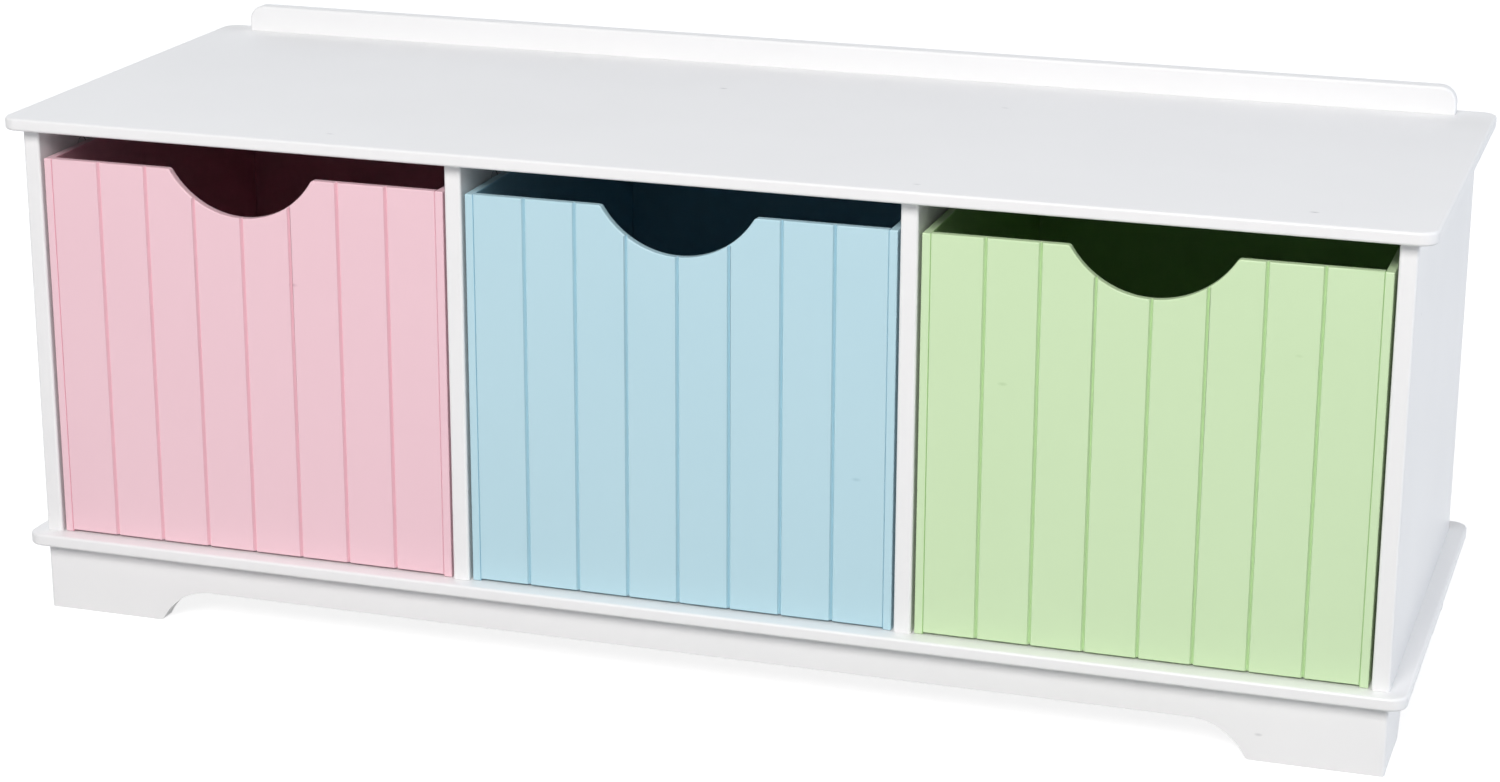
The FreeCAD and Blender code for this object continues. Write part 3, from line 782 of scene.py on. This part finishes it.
@dataclass(frozen=True)
class Carcass:
    """The white boards of the bench, its hardboard back and the blocks in its plinth."""

    plan_radius: float = 12 * MM
    panel_round: float = 2 * MM
    upright_round: float = 2 * MM
    rail_radius: float = 12 * MM
    rail_round: float = 2 * MM
    clear_height: float = 25 * MM
    scoop_radius: float = 42 * MM
    scoop_flats: int = 14
    long_foot: float = 90 * MM
    short_foot: float = 53 * MM
    foot_round: float = 4 * MM
    foot_flats: int = 5
    skirt_round: float = 1.2 * MM
    skirt_corner: float = 2.5 * MM
    joint_ease: float = 0.4 * MM
    block_ease: float = 1.5 * MM

    def build_plan_panel(self, node: str) -> None:
        """Builds the top or the base: rounded corners in plan and a round all along its edges.

        Args:
            node: the panel's node.
        """
        board, low, high = new_board(node)
        round_over(board, edges_along(board.edges, Axis.UP), self.plan_radius, CORNER_FLATS)
        for level in (low.z, high.z):
            round_over(board, edges_at(board, Axis.UP, level), self.panel_round)
        install(board, node, [WHITE])

    def build_upright(self, node: str) -> None:
        """Builds a side panel or a divider: rounded front edges, and eased ones where it is joined.

        Args:
            node: the upright's node.
        """
        board, low, _ = new_board(node)
        front = edges_along(edges_at(board, Axis.DEEP, low.y), Axis.UP)
        round_over(board, front, self.upright_round)
        round_over(board, sharp_edges(board), self.joint_ease, EASE_FLATS)
        install(board, node, [WHITE])

    def build_rail(self) -> None:
        """Builds the rail on the rear of the top: rounded upper corners and edges."""
        board, low, high = new_board("back_rail")
        corners = edges_along(edges_at(board, Axis.UP, high.z), Axis.DEEP)
        round_over(board, corners, self.rail_radius, CORNER_FLATS)
        foot = set(edges_at(board, Axis.UP, low.z))
        shown = [edge for edge in edges_at(board, Axis.DEEP, low.y, high.y) if edge not in foot]
        round_over(board, shown, self.rail_round)
        round_over(board, edges_at(board, Axis.UP, low.z), self.joint_ease, EASE_FLATS)
        install(board, "back_rail", [WHITE])

    def build_back_panel(self) -> None:
        """Builds the back: brown outside, with a white coat on the face that shows in the bays."""
        board, _, _ = new_board("back_panel")
        round_over(board, board.edges[:], self.joint_ease, EASE_FLATS)
        for face in board.faces:
            face.material_index = int(face.normal.y < -FACING_SHARE)
        install(board, "back_panel", [SCREEN_BACK, WHITE])

    def build_skirt(self, node: str, axis: Axis, foot: float) -> None:
        """Builds one skirt of the plinth, scooped out between its bracket feet.

        Args:
            node: the skirt's node.
            axis: the way that the skirt runs.
            foot: the length of each of its feet.
        """
        low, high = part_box(node)
        along = axis.vector
        turn = UP.cross(along)
        length = (high - low).dot(along)
        height = (high.z - low.z) * UP
        rise = math.acos(1 - self.clear_height / self.scoop_radius)
        run = self.scoop_radius * math.sin(rise)
        pivot = (self.clear_height - self.scoop_radius) * UP
        scoop_start = low + (foot + run) * along
        scoop_end = low + (length - foot - run) * along
        outline = Outline(low)
        outline.line_to(low + foot * along)
        outline.mark_corner()
        outline.arc_about(scoop_start + pivot, turn, rise, self.scoop_flats)
        outline.line_to(scoop_end + self.clear_height * UP)
        outline.arc_about(scoop_end + pivot, turn, rise, self.scoop_flats)
        outline.mark_corner()
        outline.line_to(low + length * along)
        outline.line_to(low + length * along + height)
        outline.line_to(low + height)
        through = Axis.DEEP if axis is Axis.ACROSS else Axis.ACROSS
        thickness = (high - low).dot(through.vector) * through.vector
        board = outline.padded(thickness, self.foot_round * math.tan(rise / 2), self.foot_flats)
        if axis is Axis.ACROSS:
            round_over(board, self.outer_corners(board), self.skirt_corner)
        faces = edges_at(board, through, low[through.value], high[through.value])
        round_over(board, faces, self.skirt_round, EDGE_FLATS)
        install(board, node, [WHITE])

    def outer_corners(self, board: BMesh) -> list[BMEdge]:
        """Finds the upright edges of the front or the rear skirt that turn the corners of the plinth."""
        outside = max((vert.co.y for vert in board.verts), key=abs)
        return edges_along(edges_at(board, Axis.DEEP, outside), Axis.UP)

    def build_block(self, node: str) -> None:
        """Builds a glue block of the plinth, sawn square with eased edges.

        Args:
            node: the block's node.
        """
        board, _, _ = new_board(node)
        round_over(board, board.edges[:], self.block_ease, EASE_FLATS)
        install(board, node, [PINE])

    def build(self) -> None:
        """Builds every board of the carcass."""
        for node in ("top_panel", "base_panel"):
            self.build_plan_panel(node)
        for node in ("left_side_panel", "left_divider", "right_divider", "right_side_panel"):
            self.build_upright(node)
        self.build_rail()
        self.build_back_panel()
        for node in ("front_skirt", "rear_skirt"):
            self.build_skirt(node, Axis.ACROSS, self.long_foot)
        for node in ("left_skirt", "right_skirt"):
            self.build_skirt(node, Axis.DEEP, self.short_foot)
        for corner in ("front_left", "front_right", "rear_left", "rear_right"):
            self.build_block(f"{corner}_corner_block")


@dataclass(frozen=True)
class Bin:
    """One bin: a grooved front with a half-round hand cut-out, two sides, a back and a bottom."""

    name: str
    paint: Lacquer
    # The colour of the insides, deeper than the paint outside: painted shade.
    inside: Lacquer
    groove_count: int = 7
    groove_width: float = 2.8 * MM
    groove_depth: float = 2.7 * MM
    cutout_width: float = 108 * MM
    cutout_depth: float = 31 * MM
    cutout_flats: int = 40
    lip_round: float = 3 * MM
    lip_flats: int = 4
    edge_round: float = 0.9 * MM
    joint_ease: float = 0.4 * MM
    pin_head: float = 2.4 * MM
    pin_dome: DomedHead = DomedHead(height=0.12 * MM, flats=14, rings=8)

    def install_board(self, board: BMesh, node: str, inward: Vector) -> None:
        """Paints a board, with the inside's painted shade on the face that looks into the bin, and installs
        it.

        Args:
            board: the board's mesh.
            node: the board's node.
            inward: the way into the bin.
        """
        bmesh.ops.recalc_face_normals(board, faces=board.faces[:])
        for face in board.faces:
            # A face that looks into the bin takes the inside's painted shade.
            face.material_index = int(face.normal.dot(inward) > FACING_SHARE)
        install(board, node, [self.paint, self.inside])

    def build_front(self) -> None:
        """Builds the front: the outline with its cut-out is padded, rounded over and then grooved."""
        node = f"{self.name}_front"
        low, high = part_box(node)
        middle = Vector(((low.x + high.x) / 2, low.y, high.z))
        half = self.cutout_width / 2
        radius = (half**2 + self.cutout_depth**2) / (2 * self.cutout_depth)
        sweep = math.asin(half / radius)
        pivot = middle + (radius - self.cutout_depth) * UP
        outline = Outline(low)
        outline.line_to(Vector((high.x, low.y, low.z)))
        outline.line_to(Vector((high.x, low.y, high.z)))
        outline.line_to(middle + half * Axis.ACROSS.vector)
        outline.mark_corner()
        outline.arc_about(pivot, Axis.DEEP.vector, 2 * sweep, self.cutout_flats)
        outline.mark_corner()
        outline.line_to(Vector((low.x, low.y, high.z)))
        thickness = (high.y - low.y) * Axis.DEEP.vector
        board = outline.padded(thickness, self.lip_round * math.tan(sweep / 2), self.lip_flats)
        round_over(board, edges_at(board, Axis.DEEP, low.y, high.y), self.edge_round, EDGE_FLATS)
        for index in range(1, self.groove_count + 1):
            place = low.x + index * (high.x - low.x) / (self.groove_count + 1)
            self.cut_groove(board, place, low.y)
        self.install_board(board, node, Axis.DEEP.vector)

    def cut_groove(self, board: BMesh, place: float, front: float) -> None:
        """Cuts one upright groove into a board's front.

        Args:
            board: the board's mesh.
            place: the groove's middle along x.
            front: the level of the board's face along y.
        """
        half = self.groove_width / 2
        for line in (place - half, place, place + half):
            bmesh.ops.bisect_plane(
                board,
                geom=board.verts[:] + board.edges[:] + board.faces[:],
                dist=NEAR,
                plane_co=line * Axis.ACROSS.vector,
                plane_no=Axis.ACROSS.vector,
            )
        floor = front + self.groove_depth
        for vert in board.verts:
            if abs(vert.co.x - place) < NEAR and vert.co.y < floor:
                vert.co.y = floor

    def build_side(self, side: Side) -> None:
        """Builds a side board, rounded over along its front and its top.

        Args:
            side: which side of the bin it is.
        """
        node = f"{self.name}_{side.value}_side"
        board, low, high = new_board(node)
        shown = edges_at(board, Axis.DEEP, low.y) + edges_at(board, Axis.UP, high.z)
        round_over(board, list(dict.fromkeys(shown)), self.edge_round, EDGE_FLATS)
        round_over(board, sharp_edges(board), self.joint_ease, EASE_FLATS)
        self.install_board(board, node, side.inward)

    def build_back(self) -> None:
        """Builds the back board, rounded over along its top."""
        node = f"{self.name}_back"
        board, _, high = new_board(node)
        round_over(board, edges_at(board, Axis.UP, high.z), self.edge_round, EDGE_FLATS)
        round_over(board, sharp_edges(board), self.joint_ease, EASE_FLATS)
        self.install_board(board, node, -Axis.DEEP.vector)

    def build_bottom(self) -> None:
        """Builds the bottom board, with eased edges."""
        node = f"{self.name}_bottom"
        board, _, _ = new_board(node)
        round_over(board, board.edges[:], self.joint_ease, EASE_FLATS)
        self.install_board(board, node, UP)

    def build_pins(self) -> None:
        """Builds the pins, whose filled heads show through the paint as low domes."""
        node = f"{self.name}_pins"
        low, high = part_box(node)
        row = bmesh.new()
        for middle, size in solids_of(node):
            side = Side.LEFT if middle.x < (low.x + high.x) / 2 else Side.RIGHT
            pin = self.pin_dome.pin(size.x, size.z, self.pin_head)
            set_ware(row, pin, middle - size.x / 2 * side.inward, -side.inward)
        install(row, node, [self.paint])

    def build(self) -> None:
        """Builds every board of the bin, and its pins."""
        self.build_front()
        for side in Side:
            self.build_side(side)
        self.build_back()
        self.build_bottom()
        self.build_pins()


@dataclass(frozen=True)
class ScrewKind:
    """The sizes of a kind of screw that the box of its solid doesn't give."""

    diameter: float
    head_height: float


@dataclass(frozen=True)
class Fastenings:
    """The metal ware of the carcass, and the dowels that stay inside its boards."""

    base_screw: ScrewKind = ScrewKind(diameter=4 * MM, head_height=2.5 * MM)
    rail_screw: ScrewKind = ScrewKind(diameter=3.5 * MM, head_height=2 * MM)
    block_screw: ScrewKind = ScrewKind(diameter=3 * MM, head_height=2 * MM)
    head_flats: int = 28
    shank_flats: int = 14
    head_proud: float = 0.2 * MM
    recess_arm_share: float = 0.62
    recess_width_share: float = 0.17
    recess_depth_share: float = 0.5
    nail_diameter: float = 1.4 * MM
    nail_dome: DomedHead = DomedHead(height=0.8 * MM, flats=20, rings=10)
    cam_rim: float = 1.1 * MM
    cam_sink: float = 0.4 * MM
    cam_flats: int = 36

    def flat_faces(self, ware: BMesh, level: float) -> list[BMFace]:
        """Finds the faces of a head's flat, all of whose corners are at its level."""
        return [face for face in ware.faces if all(abs(vert.co.z - level) < NEAR for vert in face.verts)]

    def cut_cross(self, ware: BMesh, level: float, diameter: float, depth: float) -> None:
        """Cuts a driver's cross into the flat of a head that faces up at the origin.

        Args:
            ware: the mesh of one screw or cam.
            level: the height of the flat.
            diameter: the head's diameter.
            depth: the cross's depth.
        """
        arm = self.recess_arm_share * diameter / 2
        width = self.recess_width_share * diameter / 2
        for axis in (Axis.ACROSS, Axis.DEEP):
            for line in (-arm, -width, width, arm):
                flat = self.flat_faces(ware, level)
                edges = {edge for face in flat for edge in face.edges}
                verts = {vert for face in flat for vert in face.verts}
                bmesh.ops.bisect_plane(
                    ware,
                    geom=flat + list(edges) + list(verts),
                    dist=NEAR,
                    plane_co=line * axis.vector,
                    plane_no=axis.vector,
                )
        cross = []
        for face in self.flat_faces(ware, level):
            centre = face.calc_center_median()
            reach = sorted((abs(centre.x), abs(centre.y)))
            if reach[0] < width and reach[1] < arm:
                cross.append(face)
        # The edges are given too, because only then are the old faces taken away.
        edges = {edge for face in cross for edge in face.edges}
        sunk = bmesh.ops.extrude_face_region(ware, geom=cross + list(edges))
        moved = [item for item in sunk["geom"] if isinstance(item, BMVert)]
        bmesh.ops.translate(ware, vec=-depth * UP, verts=moved)

    def screw(self, kind: ScrewKind, length: float, head: float) -> BMesh:
        """Makes a countersunk screw that points down from the origin.

        Args:
            kind: its kind.
            length: its whole length.
            head: its head's diameter.

        Returns:
            The screw's mesh.
        """
        ware = bmesh.new()
        add_rod(ware, self.head_proud, kind.head_height, (kind.diameter, head), self.head_flats)
        self.cut_cross(ware, self.head_proud, head, self.recess_depth_share * kind.head_height)
        neck = self.head_proud - kind.head_height
        add_rod(ware, neck, length - kind.head_height, (kind.diameter, kind.diameter), self.shank_flats)
        return ware

    def cam(self, diameter: float, depth: float) -> BMesh:
        """Makes a cam lock that faces up at the origin, with a raised rim and a driver's cross.

        Args:
            diameter: the lock's diameter.
            depth: the lock's depth.

        Returns:
            The lock's mesh.
        """
        ware = bmesh.new()
        add_rod(ware, self.head_proud, depth, (diameter, diameter), self.cam_flats)
        flat = self.flat_faces(ware, self.head_proud)
        bmesh.ops.inset_region(ware, faces=flat, thickness=self.cam_rim, use_even_offset=True)
        bmesh.ops.translate(ware, vec=-self.cam_sink * UP, verts=flat[0].verts[:])
        self.cut_cross(ware, self.head_proud - self.cam_sink, diameter, self.recess_depth_share * depth)
        return ware

    def build_upward_screws(self, node: str, kind: ScrewKind) -> None:
        """Builds the screws that go up through the base or the top, with their heads below.

        Args:
            node: the screws' node.
            kind: their kind.
        """
        row = bmesh.new()
        for middle, size in solids_of(node):
            screw = self.screw(kind, size.z, size.x)
            set_ware(row, screw, middle - size.z / 2 * UP, -UP)
        install(row, node, [STEEL])

    def build_block_screws(self) -> None:
        """Builds the screws of the glue blocks, each with its head on the block's free side."""
        row = bmesh.new()
        for middle, size in solids_of("block_screws"):
            axis = max(Axis, key=lambda way: size[way.value]).vector
            out = -axis if axis == UP or middle.dot(axis) > 0 else axis
            length = max(size)
            screw = self.screw(self.block_screw, length, min(size))
            set_ware(row, screw, middle + (length / 2 - self.head_proud) * out, out)
        install(row, "block_screws", [STEEL])

    def build_cams(self) -> None:
        """Builds the cam locks, which face the middle of the bench."""
        row = bmesh.new()
        for middle, size in solids_of("cam_locks"):
            side = Side.LEFT if middle.x < 0 else Side.RIGHT
            cam = self.cam(size.z, size.x)
            set_ware(row, cam, middle + size.x / 2 * side.inward, side.inward)
        install(row, "cam_locks", [ZINC])

    def build_nails(self) -> None:
        """Builds the nails of the back, with their heads on its outside."""
        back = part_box("back_panel")[1].y
        row = bmesh.new()
        for middle, size in solids_of("back_panel_nails"):
            nail = self.nail_dome.pin(size.y - self.nail_dome.height, self.nail_diameter, size.x)
            set_ware(row, nail, Vector((middle.x, back, middle.z)), Axis.DEEP.vector)
        install(row, "back_panel_nails", [STEEL])

    def dress_hidden(self) -> None:
        """Gives the dowels and the bolts, which stay inside the boards, their finishes."""
        for node, finish in (("top_dowels", BEECH), ("plinth_dowels", BEECH), ("cam_bolts", STEEL)):
            mesh = frame["nodes"][node].data
            mesh.materials.clear()
            mesh.materials.append(finish.material())
            LOG.info("%s: dressed", node)

    def build(self) -> None:
        """Builds the metal ware, and dresses what is hidden."""
        self.build_upward_screws("base_screws", self.base_screw)
        self.build_upward_screws("rail_screws", self.rail_screw)
        self.build_block_screws()
        self.build_cams()
        self.build_nails()
        self.dress_hidden()


# The studio

@dataclass(frozen=True)
class Softbox:
    """A large square lamp that faces the bench.

    azimuth_deg is where it hangs round the bench, from the front towards the right, height_deg how high it
    hangs above the horizon, and level the light that it gives at the bench, in watts to the square metre.
    A lamp that only fills in the shade doesn't show in the gloss.
    """

    name: str
    azimuth_deg: float
    height_deg: float
    distance: float
    size: float
    colour: str
    level: float
    shows_in_gloss: bool = False

    def hang(self, aim: Vector) -> None:
        """Hangs the lamp, so that it faces a point.

        Args:
            aim: the point.
        """
        azimuth = math.radians(self.azimuth_deg)
        height = math.radians(self.height_deg)
        away = Vector((
            math.sin(azimuth) * math.cos(height),
            -math.cos(azimuth) * math.cos(height),
            math.sin(height),
        ))
        lamp = bpy.data.lights.new(self.name, "AREA")
        lamp.size = self.size
        lamp.color = linear_colour(self.colour)[:3]
        lamp.energy = self.level * math.pi * self.distance**2
        holder = bpy.data.objects.new(self.name, lamp)
        bpy.context.scene.collection.objects.link(holder)
        holder.visible_camera = False
        holder.visible_glossy = self.shows_in_gloss
        turned = away.to_track_quat("Z", "Y").to_matrix().to_4x4()
        holder.matrix_world = Matrix.Translation(aim + self.distance * away) @ turned


SOFTBOXES = (
    Softbox(
        "front_softbox", azimuth_deg=4.0, height_deg=36.5, distance=4.6, size=1.7,
        colour="#FFFCFA", level=2.4, shows_in_gloss=True,
    ),
    Softbox(
        "right_softbox", azimuth_deg=96.0, height_deg=22.0, distance=6.0, size=3.2,
        colour="#EFF5FF", level=1.2,
    ),
    Softbox(
        "rear_softbox", azimuth_deg=225.0, height_deg=14.0, distance=6.0, size=3.2,
        colour="#F2F7FF", level=1.25,
    ),
)


@dataclass(frozen=True)
class Studio:
    """A plain white studio: a seamless floor, soft light all round, three lamps and the camera."""

    floor_reach: float = 30.0
    eye: tuple[float, float, float] = (0.69536, -2.16443, 0.87770)
    aim: tuple[float, float, float] = (-0.00688, 0.01477, 0.15804)
    roll_deg: float = 0.24
    focal_px: float = 3312.8
    image_width_px: float = 1500.0
    sensor_mm: float = 36.0
    sky_colour: str = "#EAF3FF"
    sky_level: float = 0.21
    backdrop_colour: str = "#FFFFFF"
    floor_colour: str = "#BEBEBE"
    seen_floor_colour: str = "#B4B4B4"
    seen_floor_glow: float = 0.84

    def seen_directly(self, tree: NodeTree) -> NodeSocket:
        """Tells the rays that show the background, straight or in a reflection, from those that light.

        Args:
            tree: the node tree of the floor or of the world.

        Returns:
            1 for a ray that shows the background, and 0 for one that lights.
        """
        path = add_node(tree, "ShaderNodeLightPath")
        seen = path.outputs["Is Camera Ray"]
        for kind in ("Is Glossy Ray", "Is Transmission Ray"):
            either = add_node(
                tree, "ShaderNodeMath", {0: seen, 1: path.outputs[kind]}, operation="ADD", use_clamp=True
            )
            seen = either.outputs[0]
        return seen

    def floor_material(self) -> Material:
        """Makes the paper floor, which looks white where it is lit and keeps a pale shadow.

        Returns:
            The material.
        """
        paper = bpy.data.materials.new("white_paper_matt")
        paper.use_nodes = True
        tree = paper.node_tree
        tree.nodes.clear()
        lit = add_node(tree, "ShaderNodeBsdfDiffuse", {"Color": linear_colour(self.floor_colour)})
        shown = add_node(tree, "ShaderNodeBsdfDiffuse", {"Color": linear_colour(self.seen_floor_colour)})
        glow = add_node(tree, "ShaderNodeEmission", {"Strength": self.seen_floor_glow})
        seen = add_node(tree, "ShaderNodeAddShader", {0: shown.outputs[0], 1: glow.outputs[0]})
        either = add_node(
            tree,
            "ShaderNodeMixShader",
            {0: self.seen_directly(tree), 1: lit.outputs[0], 2: seen.outputs[0]},
        )
        add_node(tree, "ShaderNodeOutputMaterial", {"Surface": either.outputs[0]})
        return paper

    def lay_floor(self) -> None:
        """Lays the floor under the feet of the bench."""
        sheet = bmesh.new()
        bmesh.ops.create_grid(sheet, x_segments=1, y_segments=1, size=self.floor_reach)
        mesh = bpy.data.meshes.new("studio_floor")
        sheet.to_mesh(mesh)
        sheet.free()
        mesh.materials.append(self.floor_material())
        floor = bpy.data.objects.new(mesh.name, mesh)
        bpy.context.scene.collection.objects.link(floor)

    def light_world(self) -> None:
        """Lights the studio all round, and shows white behind the bench."""
        world = bpy.data.worlds.new("white_studio")
        world.use_nodes = True
        tree = world.node_tree
        tree.nodes.clear()
        sky = add_node(
            tree,
            "ShaderNodeBackground",
            {"Color": linear_colour(self.sky_colour), "Strength": self.sky_level},
        )
        white = add_node(
            tree, "ShaderNodeBackground", {"Color": linear_colour(self.backdrop_colour), "Strength": 1.0}
        )
        either = add_node(
            tree,
            "ShaderNodeMixShader",
            {0: self.seen_directly(tree), 1: sky.outputs[0], 2: white.outputs[0]},
        )
        add_node(tree, "ShaderNodeOutputWorld", {"Surface": either.outputs[0]})
        bpy.context.scene.world = world

    def set_camera(self) -> None:
        """Sets the camera where the photograph was taken from."""
        data = bpy.data.cameras.new("photograph_camera")
        data.sensor_fit = "HORIZONTAL"
        data.sensor_width = self.sensor_mm
        data.lens = self.focal_px / self.image_width_px * self.sensor_mm
        camera = bpy.data.objects.new(data.name, data)
        bpy.context.scene.collection.objects.link(camera)
        look = (Vector(self.aim) - Vector(self.eye)).to_track_quat("-Z", "Y").to_matrix().to_4x4()
        roll = Matrix.Rotation(math.radians(self.roll_deg), 4, "Z")
        camera.matrix_world = Matrix.Translation(Vector(self.eye)) @ look @ roll
        bpy.context.scene.camera = camera

    def build(self) -> None:
        """Builds the studio."""
        self.lay_floor()
        self.light_world()
        for softbox in SOFTBOXES:
            softbox.hang(Vector(self.aim))
        self.set_camera()
        bpy.context.scene.view_settings.view_transform = "Standard"


def main() -> None:
    """Builds and dresses the bench, then the studio around it."""
    logging.basicConfig(level=logging.INFO, format="%(name)s %(message)s")
    Carcass().build()
    Bin("left_bin", PINK, PINK_INSIDE_SHADE).build()
    Bin("middle_bin", BLUE, BLUE_INSIDE_SHADE).build()
    Bin("right_bin", GREEN, GREEN_INSIDE_SHADE).build()
    Fastenings().build()
    Studio().build()


if __name__ == "__main__":
    main()
